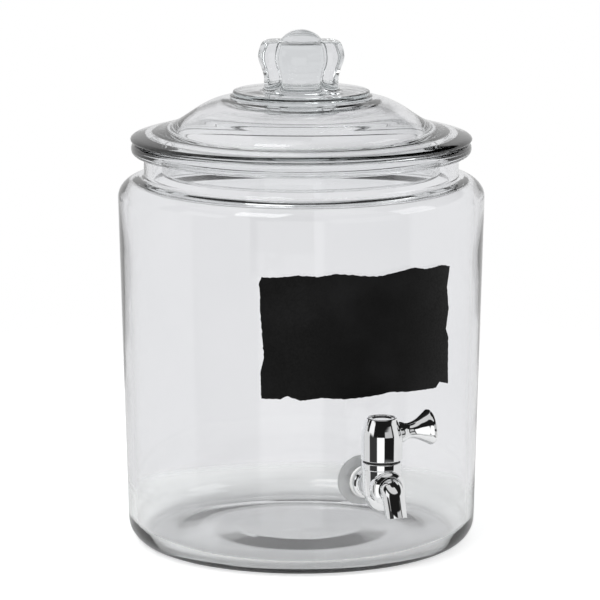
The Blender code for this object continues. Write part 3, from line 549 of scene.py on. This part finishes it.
def lid_outline():
    """From the top of the knob's lens down the outside, round the skirt and up to the middle below."""
    lens_rise = lid_high.z - KNOB_TOP
    lens = (LENS_RADIUS ** 2 + lens_rise ** 2) / (2 * lens_rise)
    sweep = math.degrees(math.asin(LENS_RADIUS / lens))
    outline = arc(0, lid_high.z - lens, lens, lens, 90, 90 - sweep, 9)
    outline[0] = (0.0, lid_high.z)
    outline += rounded([
        (LENS_RADIUS + 0.2, KNOB_TOP - 0.2), (LENS_RADIUS + 1.2, KNOB_TOP - 0.9, 1.0),
        (KNOB_EDGE - 4.0, KNOB_TOP - 1.0),
    ])
    outline += flowing([
        (KNOB_EDGE - 2.0, KNOB_TOP - 1.1), (KNOB_EDGE, KNOB_TOP - 2.0), (KNOB_EDGE + 1.8, KNOB_TOP - 4.8),
        (KNOB_RADIUS, KNOB_TOP - 10.0), (KNOB_RADIUS - 0.5, KNOB_TOP - 14.5),
        (KNOB_NECK + 1.3, KNOB_TOP - 19.5), (KNOB_NECK, KNOB_TOP - 24.5),
    ])
    outline += rounded([
        (KNOB_NECK, KNOB_TOP - 26.0), (KNOB_NECK, COLLAR_TOP, 3.0), (COLLAR_RADIUS, COLLAR_TOP, 1.3),
        (COLLAR_RADIUS, DOME_TOP + 1.9, 0.5), (STEP_RADIUS, DOME_TOP + 1.7, 0.7),
        (STEP_RADIUS + 0.2, DOME_TOP + 0.2),
    ])
    foot = SEAT_Z + 13.2
    outline += flowing([
        (STEP_RADIUS + 3.5, DOME_TOP), (STEP_RADIUS + 11.0, DOME_TOP - 1.9),
        (STEP_RADIUS + 19.0, DOME_TOP - 5.6), (STEP_RADIUS + 27.0, DOME_TOP - 10.9),
        (LID_RADIUS - 30.3, foot), (LID_RADIUS - 24.3, foot - 2.9),
        (LID_RADIUS - 17.3, foot - 4.9), (LID_RADIUS - 9.3, foot - 7.0), (LID_RADIUS - 4.2, SEAT_Z + 4.8),
        (LID_RADIUS - 1.4, SEAT_Z + 3.7), (LID_RADIUS, SEAT_Z + 2.2), (LID_RADIUS - 0.8, SEAT_Z + 0.8),
        (LID_RADIUS - 2.8, SEAT_Z),
    ])
    skirt_inner = SKIRT_RADIUS - SKIRT_WALL
    outline += rounded([
        (LID_RADIUS - 3.2, SEAT_Z), (LID_RADIUS - 11.0, SEAT_Z, 2.5), (SKIRT_RADIUS + 5.0, SEAT_Z + 3.0, 5.0),
        (SKIRT_RADIUS, SEAT_Z + 2.0, 3.0), (SKIRT_RADIUS, lid_low.z, 2.0),
        (skirt_inner, lid_low.z, 2.0), (skirt_inner, SEAT_Z + 1.0, 6.0), (skirt_inner - 5.0, SEAT_Z + 6.0),
    ])
    under = DOME_TOP - LID_WALL
    outline += flowing([
        (STEP_RADIUS + 24.0, under - 10.5), (STEP_RADIUS + 16.0, under - 5.2),
        (STEP_RADIUS + 6.0, under - 1.4), (STEP_RADIUS - 6.0, under),
    ])
    outline.append((0, under))
    return outline


def cut_flutes(work):
    """Press the four soft flutes into the knob's side and neck."""
    for vert in work.verts:
        z = vert.co.z / MM
        radius = math.hypot(vert.co.x, vert.co.y) / MM
        if z < COLLAR_TOP + 0.5 or radius < LENS_RADIUS:
            continue
        angle = math.degrees(math.atan2(vert.co.y, vert.co.x)) - FLUTE_TURN
        off = (angle + 45.0) % 90.0 - 45.0
        rise = min(1.0, (z - COLLAR_TOP) / 4.0)
        inwards = min(1.0, (radius - LENS_RADIUS) / 6.0)
        depth = FLUTE_DEPTH * rise * inwards * math.exp(-(off / FLUTE_WIDTH) ** 2)
        vert.co.xy *= 1.0 - depth / radius


def make_lid():
    work = spun(lid_outline(), GLASS_STEPS)
    cut_flutes(work)
    lid = finish_mesh("lid_glass", work, sharp=60)
    return fit(lid, "lid", "clear_glass", "glass_lid")


# ---------------------------------------------------------------- label

def torn_edge():
    """The label's outline with the small tears and fibres between its corners."""
    points = []
    for here, there in zip(LABEL_OUTLINE, LABEL_OUTLINE[1:] + LABEL_OUTLINE[:1]):
        here, there = Vector(here), Vector(there)
        count = max(1, round((there - here).length / 1.3))
        side = (there - here).normalized().orthogonal()
        for i in range(count):
            spot = here.lerp(there, i / count)
            tear = noise.noise((spot.x * 0.45, spot.y * 0.45, 3.0)) + 0.5 * noise.noise((*spot, 9.0))
            points.append(spot + side * tear * 0.45)
    return points


def make_label():
    work = bmesh.new()
    corners = [work.verts.new((spot.x, spot.y, 0.0)) for spot in torn_edge()]
    work.faces.new(corners)
    across = -70.0
    while across < 70.0:
        geom = work.verts[:] + work.edges[:] + work.faces[:]
        bmesh.ops.bisect_plane(work, geom=geom, plane_co=(across, 0, 0), plane_no=(1, 0, 0), dist=0.0001)
        across += STRIP
    bmesh.ops.triangulate(work, faces=work.faces)
    front = bmesh.ops.extrude_face_region(work, geom=work.faces[:])["geom"]
    front = {item for item in front if isinstance(item, bmesh.types.BMVert)}
    for vert in work.verts:
        x, z = vert.co.x, vert.co.y
        radius = wall_radius(z)
        outer = radius + (GAP + LABEL_THICK if vert in front else LABEL_BACK)
        vert.co = Vector((outer * math.sin(x / radius), -outer * math.cos(x / radius), z)) * MM
    label = finish_mesh("chalkboard_film", work, sharp=30)
    return fit(label, "jar", "chalkboard_black", "chalkboard_label")


# ---------------------------------------------------------------- tap: what clamps it to the wall

def make_wall_fittings():
    wall = wall_radius(INLET_Z)
    front = wall + GAP + 1.5
    outer = turned("outer_washer_soft", rounded([
        (SHANK_HOLE, wall + 0.8), (SHANK_HOLE, front), (10.2, front, 0.4), (10.6, wall + 0.2, 0.3),
        (10.0, wall - 0.2), (9.0, wall + 0.1),
    ]), TAP_STEPS, closed=True, at=laid(INLET_Z))
    fit(outer, "jar", "grey_silicone", "outer_washer")
    back = wall - WALL - GAP
    inner = turned("inner_washer_soft", rounded([
        (SHANK_HOLE, back - 0.3), (15.0, back - 0.8), (15.8, back - 1.3, 0.3), (15.8, back - 2.8, 0.5),
        (SHANK_HOLE, back - 2.8),
    ]), TAP_STEPS, closed=True, at=laid(INLET_Z))
    fit(inner, "jar", "grey_silicone", "inner_washer")
    flange = turned("flange_chrome", rounded([
        (SHANK_HOLE, front + GAP), (9.7, front + GAP, 0.4), (9.7, front + GAP + 2.9, 1.0),
        (8.4, front + GAP + 4.3, 0.7), (SHANK_HOLE, front + GAP + 4.3),
    ]), TAP_STEPS, closed=True, at=laid(INLET_Z))
    fit(flange, "jar", "polished_chrome", "wall_flange")
    nut_front = back - 3.1
    nut_back = nut_front - NUT_THICK
    corner = NUT_ACROSS_FLATS / math.sqrt(3)
    nut = turned("lock_nut_hex", rounded([
        (NUT_BORE, nut_front), (corner - NUT_CHAMFER, nut_front), (corner, nut_front - 0.8),
        (corner, nut_back + 0.8), (corner - NUT_CHAMFER, nut_back), (NUT_BORE, nut_back),
    ]), TAP_STEPS, closed=True, at=laid(INLET_Z), sharp=25)
    hexagon = turned("hexagon", [(0, nut_front + 1), (corner, nut_front + 1), (corner, nut_back - 1),
                                 (0, nut_back - 1)], 6, at=laid(INLET_Z), sharp=20)
    combine(nut, hexagon, "INTERSECT", sharp=25)
    fit(nut, "jar", "stainless_steel", "lock_nut")


# ---------------------------------------------------------------- tap: barrel and spout

def shank_outline():
    """The shank from inside the barrel to its threaded inner end, along the inlet's axis."""
    wide = SHANK_RADIUS + 0.9
    shoulder = wall_radius(INLET_Z) + 6.4
    outline = [(0, -tap_at.y - 8.5), (wide, -tap_at.y - 8.5), (wide, shoulder), (SHANK_RADIUS, shoulder)]
    along = wall_radius(INLET_Z) - WALL - 3.4
    while along > SHANK_END + 1.6:
        outline += [(SHANK_RADIUS, along), (SHANK_RADIUS - 0.55, along - 0.55), (SHANK_RADIUS, along - 1.1)]
        along -= THREAD_PITCH
    return outline + [(SHANK_RADIUS, SHANK_END + 0.9), (SHANK_RADIUS - 0.8, SHANK_END), (0, SHANK_END)]


def make_tap_body():
    foot = arc(0, BARREL_FOOT_Z, DOME_RADIUS, DOME_RADIUS, -90, 0, 12)
    foot[0] = (0.0, foot[0][1])
    outline = foot + rounded([
        (DOME_RADIUS, BARREL_FOOT_Z + 0.2), (BARREL_RADIUS, BARREL_FOOT_Z + 0.5, 0.4),
        (BARREL_RADIUS, BAND_Z, 0.2), (BAND_RADIUS, BAND_Z + 0.3, 0.4), (BAND_RADIUS, BARREL_TOP_Z, 0.6),
        (RETAINER_RADIUS, BARREL_TOP_Z, 0.2), (RETAINER_RADIUS, RETAINER_FOOT), (BORE_RADIUS, RETAINER_FOOT),
        (BORE_RADIUS, BORE_FOOT), (0, BORE_FOOT),
    ])
    stand = upright(0, tap_at.y)
    body = turned("tap_barrel", outline, TAP_STEPS, at=stand)
    combine(body, turned("shank", shank_outline(), SMALL_STEPS, at=laid(INLET_Z)), "UNION", sharp=30)
    boss_end = -tap_at.y + BARREL_RADIUS + 0.5
    boss = turned("boss", rounded([
        (0, boss_end), (BOSS_RADIUS, boss_end, 1.6), (BOSS_RADIUS, -tap_at.y + 1), (0, -tap_at.y + 1),
    ]), TAP_STEPS, at=laid(OUTLET_Z))
    combine(body, boss, "UNION", sharp=30)
    core = turned("core", [
        (0, BORE_FOOT), (BORE_RADIUS, BORE_FOOT), (BORE_RADIUS, RETAINER_FOOT),
        (RETAINER_RADIUS, RETAINER_FOOT), (RETAINER_RADIUS, BARREL_TOP_Z + 1), (0, BARREL_TOP_Z + 1),
    ], SMALL_STEPS, at=stand)
    combine(body, core, sharp=30)
    bores = [
        (INLET_Z, PORT_RADIUS, SHANK_END - 1.0, -tap_at.y - 3),
        (OUTLET_Z, PORT_RADIUS, -tap_at.y + 3, boss_end + 1),
        (OUTLET_Z, SPOUT_TAIL + GAP, -tap_at.y + 8.3, boss_end + 1),
    ]
    for z, radius, start, end in bores:
        outline = [(0, start), (radius, start), (radius, end), (0, end)]
        combine(body, turned("port", outline, SMALL_STEPS, at=laid(z)), sharp=30)
    fit(body, "jar", "polished_chrome", "tap_body")


def make_spout():
    """A bent tapering tube, cut level at its tip; its narrower tail sits in the barrel's boss."""
    tip_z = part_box("outlet_spout")[0].z / MM
    start = BARREL_RADIUS + 0.8
    centre = [(8.9, OUTLET_Z), (start - 0.05, OUTLET_Z), (start, OUTLET_Z)]
    centre += arc(start + 0.2, OUTLET_Z - SPOUT_BEND, SPOUT_BEND, SPOUT_BEND, 90, 90 - SPOUT_TURN, 25)
    fall = math.radians(SPOUT_TURN)
    last = centre[-1]
    centre += [(last[0] + run * math.cos(fall), last[1] - run * math.sin(fall)) for run in (3.0, 8.0, 13.0)]
    runs = [0.0]
    for here, there in zip(centre[2:], centre[3:]):
        runs.append(runs[-1] + math.dist(here, there))
    radii = [SPOUT_TAIL] * 2 + [SPOUT_ROOT + (SPOUT_TIP - SPOUT_ROOT) * run / runs[-1] for run in runs]
    curve = bpy.data.curves.new("spout_route", "CURVE")
    curve.dimensions = "3D"
    curve.bevel_depth = MM
    curve.bevel_resolution = 14
    spline = curve.splines.new("POLY")
    spline.points.add(len(centre) - 1)
    for point, (forward, up), radius in zip(spline.points, centre, radii):
        point.co = (0.0, (tap_at.y - forward) * MM, up * MM, 1.0)
        point.radius = radius
    guide = bpy.data.objects.new("spout_route", curve)
    bpy.context.scene.collection.objects.link(guide)
    mesh = bpy.data.meshes.new_from_object(guide.evaluated_get(bpy.context.evaluated_depsgraph_get()))
    work = bmesh.new()
    work.from_mesh(mesh)
    bpy.data.objects.remove(guide, do_unlink=True)
    bpy.data.meshes.remove(mesh)
    geom = work.verts[:] + work.edges[:] + work.faces[:]
    bmesh.ops.bisect_plane(work, geom=geom, plane_co=(0, 0, tip_z * MM), plane_no=(0, 0, -1),
                           clear_outer=True)
    spout = finish_mesh("spout_tube", work, sharp=60)
    wall = spout.modifiers.new("wall", "SOLIDIFY")
    wall.thickness = SPOUT_WALL * MM
    wall.offset = -1.0
    rim = spout.modifiers.new("rim", "BEVEL")
    rim.width = 0.35 * MM
    rim.segments = 3
    rim.angle_limit = math.radians(60)
    fit(spout, "jar", "polished_chrome", "outlet_spout")
    back = -tap_at.y + BARREL_RADIUS + 0.8
    collar = turned("spout_ring", rounded([
        (COLLAR_BORE, back), (10.4, back, 0.5), (10.0, back + 0.9, 0.6), (COLLAR_BORE + 0.3, back + 2.2, 0.5),
        (COLLAR_BORE, back + 1.9),
    ]), TAP_STEPS, closed=True, at=laid(OUTLET_Z))
    fit(collar, "jar", "polished_chrome", "spout_collar")


def make_seam_washer():
    """The thin black washer between the barrel and the head."""
    inner, outer = 4.8, BARREL_RADIUS - 0.5
    low, high = BARREL_TOP_Z + GAP, HEAD_FOOT - GAP
    thrust = turned("seam_washer", rounded([
        (inner, low), (outer, low, 0.2), (outer, high, 0.2), (inner, high),
    ]), TAP_STEPS, closed=True, at=upright(0, tap_at.y))
    fit(thrust, "jar", "black_nylon", "thrust_washer")


# ---------------------------------------------------------------- tap: head, cap and lever

def make_head():
    """The chrome head with its square socket, and the cap in its top."""
    stand = upright(0, tap_at.y)
    crown = HEAD_TOP - HEAD_SHOULDER_Z
    head = turned("head_chrome", rounded([
        (SKIRT_BORE, HEAD_FOOT), (HEAD_RADIUS, HEAD_FOOT, 0.5), (HEAD_RADIUS, HEAD_SHOULDER_Z, 1.5),
        (HEAD_RADIUS - 0.8, HEAD_SHOULDER_Z + 0.3 * crown, 12.0),
        (HEAD_RADIUS - 2.0, HEAD_SHOULDER_Z + 0.65 * crown, 12.0),
        (HEAD_TOP_RADIUS, HEAD_TOP, 0.7), (CAP_RADIUS + GAP, HEAD_TOP, 0.4), (CAP_RADIUS + GAP, CAP_SEAT),
        (SCREW_HEAD_BORE, CAP_SEAT), (SCREW_HEAD_BORE, SCREW_SEAT), (SCREW_BORE, SCREW_SEAT),
        (SCREW_BORE, SOCKET_FOOT), (SKIRT_BORE, SOCKET_FOOT),
    ]), TAP_STEPS, closed=True, at=stand)
    low, high = SOCKET_FOOT - 1.0, STEM_TOP + GAP
    socket = block("socket", (SOCKET_SIDE, SOCKET_SIDE, high - low), upright(0, tap_at.y, (low + high) / 2))
    combine(head, socket)
    fit(head, "handle", "polished_chrome", "handle_head")

    cap_top = HEAD_TOP - 0.6
    cap = turned("cap_chrome", rounded([
        (0, cap_top - 0.9), (CAP_RADIUS - 2.4, cap_top - 0.7, 1.5), (CAP_RADIUS - 1.2, cap_top, 0.5),
        (CAP_RADIUS, cap_top - 0.1, 0.5), (CAP_RADIUS, CAP_SEAT + GAP, 0.2), (0, CAP_SEAT + GAP),
    ]), TAP_STEPS, at=stand)
    fit(cap, "handle", "polished_chrome", "top_cap")


def make_lever():
    """The turned trumpet, trimmed so that it stands clear of the head."""
    end = LEVER_LENGTH
    trumpet = rounded([
        (0, end - 0.2), (LEVER_END - 3.0, end - 0.4, 6.0), (LEVER_END - 0.3, end - 0.9, 1.6),
        (LEVER_END, end - 3.0, 1.4), (LEVER_END - 0.6, end - 4.2),
    ])
    trumpet += flowing([
        (LEVER_END - 1.5, end - 5.4), (LEVER_NECK + 2.9, end - 8.2), (LEVER_NECK + 1.0, end - 11.6),
        (LEVER_NECK, end - 15.5), (LEVER_NECK + 0.3, end - 18.0), (LEVER_NECK + 1.4, end - 20.6),
        (LEVER_NECK + 1.9, end - 24.0),
    ])
    trumpet += [(0, end - 24.0)]
    tilt = upright(0, tap_at.y, LEVER_Z) @ Matrix.Rotation(math.radians(90 - LEVER_TILT), 4, "Y")
    lever = turned("lever_chrome", trumpet, TAP_STEPS, at=tilt)
    reach = HEAD_RADIUS + 0.05
    clear = turned("clear", rounded([
        (0, HEAD_TOP), (HEAD_TOP_RADIUS, HEAD_TOP), (reach, HEAD_SHOULDER_Z, 3.0), (reach, HEAD_FOOT),
        (0, HEAD_FOOT),
    ]), TAP_STEPS, at=upright(0, tap_at.y))
    combine(lever, clear, sharp=35)
    fit(lever, "handle", "polished_chrome", "lever")


HIDDEN_FINISHES = {
    "valve_plug": "plug_brass", "plug_seal_upper": "black_rubber", "plug_seal_lower": "black_rubber",
    "spout_seal": "black_rubber", "plug_retainer": "stainless_steel", "handle_screw": "stainless_steel",
}


def finish_hidden_nodes():
    for node, slot in HIDDEN_FINISHES.items():
        obj = frame["nodes"][node]
        obj.data.materials.clear()
        obj.data.materials.append(materials[slot])


# ---------------------------------------------------------------- studio

def make_camera():
    turn = math.radians(CAMERA_TURN)
    place = Vector((math.sin(turn) * CAMERA_DISTANCE, -math.cos(turn) * CAMERA_DISTANCE, CAMERA_HEIGHT)) * MM
    data = bpy.data.cameras.new("camera")
    data.lens = CAMERA_LENS
    data.sensor_width = 36.0
    data.shift_x, data.shift_y = CAMERA_SHIFT
    camera = bpy.data.objects.new("camera", data)
    camera.location = place
    aim = Vector((0, 0, AIM_HEIGHT)) * MM
    camera.rotation_euler = (aim - place).to_track_quat("-Z", "Y").to_euler()
    bpy.context.scene.collection.objects.link(camera)
    bpy.context.scene.camera = camera


def facing(tree, direction, azimuth, half_width, soft):
    """1 where a direction's compass angle lies within half_width degrees of azimuth, with soft sides."""
    level = add(tree, "ShaderNodeVectorMath", operation="MULTIPLY")
    link(tree, direction, level.inputs[0])
    level.inputs[1].default_value = (1, 1, 0)
    unit = add(tree, "ShaderNodeVectorMath", operation="NORMALIZE")
    link(tree, level.outputs[0], unit.inputs[0])
    along = add(tree, "ShaderNodeVectorMath", operation="DOT_PRODUCT")
    link(tree, unit.outputs[0], along.inputs[0])
    angle = math.radians(azimuth)
    along.inputs[1].default_value = (math.cos(angle), math.sin(angle), 0)
    outer = math.cos(math.radians(min(half_width + soft, 180)))
    inner = math.cos(math.radians(max(half_width - soft, 0)))
    return stepped(tree, along.outputs["Value"], outer, inner)


def between(tree, height, low, high, soft):
    """1 where a direction's elevation lies from low to high degrees, with soft ends."""
    ends = [math.sin(math.radians(angle)) for angle in (low - soft, low + soft, high + soft, high - soft)]
    return math_node(tree, "MULTIPLY", stepped(tree, height, *ends[:2]), stepped(tree, height, *ends[2:]))


# Softboxes that polished pieces mirror: compass angle, half width, lowest and highest elevation, brightness
FRONT = 270.0 + CAMERA_TURN
CARDS = [
    (FRONT - 6.5, 20.3, -48.0, 11.0, 1.1),
    (FRONT - 49.5, 22.0, -48.0, 11.0, 0.03),
    (FRONT + 127.0, 55.0, -48.0, 24.0, 0.78),
    (FRONT - 125.0, 53.0, -48.0, 12.0, 0.72),
    (FRONT - 142.0, 38.0, 12.0, 60.0, 0.72),
    (FRONT - 66.0, 17.0, 12.0, 30.0, 1.0),
    (FRONT + 40.0, 22.0, -5.0, 22.0, 0.55),
    (FRONT + 44.0, 26.0, -48.0, -18.0, 0.6),
    (FRONT - 18.0, 82.0, 42.0, 76.0, 0.66),
]
CARD_EDGE = 2.0          # degrees over which a softbox fades
DARK = 0.012
THROUGH_GLASS = 0.86     # brightness that bent rays meet, except in the flag
FLAG = (40.0, 58.0, 6.0) # elevations of the darker band that the lid's edges pick up, and its softness
FLAG_DEPTH = 0.3
GLASS_TINT = (0.985, 0.98, 1.0)
FLOOR_TO_THE_EYE = 0.46
FLOOR_THROUGH_GLASS = 0.12
FLOOR_IN_CHROME = 0.05
FLOOR_FADE = (0.24, 0.8) # metres from the jar's axis where the table fades out
FLOOR_FADE_IN_CHROME = (0.195, 0.225)
LAMPS = [                # name, place and size in metres, power in watts
    ("key", (-1.3, -1.1, 1.7), 1.1, 22.0),
    ("fill", (1.6, -0.9, 1.1), 1.0, 8.0),
]


def make_world():
    """White to the eye; mirrored rays meet softboxes with dark gaps, bent rays a pale sky with one darker
    band, and matt surfaces an even sky."""
    world = bpy.data.worlds.new("studio")
    bpy.context.scene.world = world
    world.use_nodes = True
    tree = world.node_tree
    tree.nodes.clear()
    where = add(tree, "ShaderNodeTexCoord")
    direction = where.outputs["Generated"]
    split = add(tree, "ShaderNodeSeparateXYZ")
    link(tree, direction, split.inputs[0])
    height = split.outputs["Z"]
    mirrored = DARK
    for azimuth, half_width, low, high, brightness in CARDS:
        across = facing(tree, direction, azimuth, half_width, CARD_EDGE)
        upwards = between(tree, height, low, high, CARD_EDGE)
        card = math_node(tree, "MULTIPLY", math_node(tree, "MULTIPLY", across, upwards), brightness)
        mirrored = math_node(tree, "ADD", card, mirrored)
    flag = math_node(tree, "MULTIPLY", between(tree, height, *FLAG), FLAG_DEPTH)
    bent = math_node(tree, "SUBTRACT", THROUGH_GLASS, flag)
    paths = add(tree, "ShaderNodeLightPath")
    matt = stepped(tree, height, -0.6, 0.9, 0.55, 0.75)

    def choose(mask, yes, no):
        mix = add(tree, "ShaderNodeMix", data_type="FLOAT")
        link(tree, mask, mix.inputs["Factor"])
        for socket, value in zip(mix.inputs[2:4], (no, yes)):
            if isinstance(value, float):
                socket.default_value = value
            else:
                link(tree, value, socket)
        return mix.outputs[0]

    level = choose(paths.outputs["Is Glossy Ray"], mirrored, matt)
    level = choose(paths.outputs["Is Transmission Ray"], bent, level)
    level = choose(paths.outputs["Is Camera Ray"], 1.0, level)
    background = add(tree, "ShaderNodeBackground")
    link(tree, level, background.inputs["Strength"])
    tint = tones_node(tree, paths.outputs["Is Transmission Ray"], (1, 1, 1), GLASS_TINT)
    link(tree, tint, background.inputs["Color"])
    output = add(tree, "ShaderNodeOutputWorld")
    link(tree, background.outputs[0], output.inputs["Surface"])


def make_floor():
    """A pale table top that keeps the shadow and fades out into the white round it."""
    work = bmesh.new()
    bmesh.ops.create_circle(work, cap_ends=True, segments=96, radius=0.9, matrix=upright(0, 0, -0.2))
    floor = finish_mesh("floor", work)
    material, tree, shader = new_material("pale_table", Roughness=0.9, Specular_IOR_Level=0.0)
    tone = tones_node(tree, noise_value(tree, 3.0), (0.78, 0.79, 0.79), (0.82, 0.82, 0.82))
    link(tree, tone, shader.inputs["Base Color"])
    paths = add(tree, "ShaderNodeLightPath")
    bent = math_node(tree, "MULTIPLY", paths.outputs["Is Transmission Ray"], FLOOR_THROUGH_GLASS)
    mirrored = math_node(tree, "MULTIPLY", paths.outputs["Is Glossy Ray"], FLOOR_IN_CHROME)
    seen = math_node(tree, "MULTIPLY", paths.outputs["Is Camera Ray"], FLOOR_TO_THE_EYE)
    shader.inputs["Emission Color"].default_value = (1, 1, 1, 1)
    glow = math_node(tree, "ADD", seen, math_node(tree, "ADD", bent, mirrored))
    link(tree, glow, shader.inputs["Emission Strength"])
    where = add(tree, "ShaderNodeTexCoord")
    length = add(tree, "ShaderNodeVectorMath", operation="LENGTH")
    link(tree, where.outputs["Object"], length.inputs[0])
    clear = add(tree, "ShaderNodeBsdfTransparent")
    fade = add(tree, "ShaderNodeMixShader")
    far = stepped(tree, length.outputs["Value"], *FLOOR_FADE)
    near = stepped(tree, length.outputs["Value"], *FLOOR_FADE_IN_CHROME)
    near = math_node(tree, "MULTIPLY", near, paths.outputs["Is Glossy Ray"])
    link(tree, math_node(tree, "MAXIMUM", far, near), fade.inputs[0])
    link(tree, shader.outputs[0], fade.inputs[1])
    link(tree, clear.outputs[0], fade.inputs[2])
    link(tree, fade.outputs[0], tree.nodes["Material Output"].inputs["Surface"])
    floor.data.materials.append(material)


def make_lamps():
    """A large key softbox high on the left and a fill from the right."""
    for name, at, size, power in LAMPS:
        data = bpy.data.lights.new(name, "AREA")
        data.shape = "SQUARE"
        data.size = size
        data.energy = power
        lamp = bpy.data.objects.new(name, data)
        lamp.location = at
        lamp.visible_glossy = False
        lamp.rotation_euler = (Vector((0, 0, 0.15)) - lamp.location).to_track_quat("-Z", "Y").to_euler()
        bpy.context.scene.collection.objects.link(lamp)


make_jar()
make_lid()
make_label()
make_wall_fittings()
make_tap_body()
make_spout()
make_seam_washer()
make_head()
make_lever()
finish_hidden_nodes()
make_camera()
make_world()
make_floor()
make_lamps()
bpy.context.scene.view_settings.view_transform = "Standard"
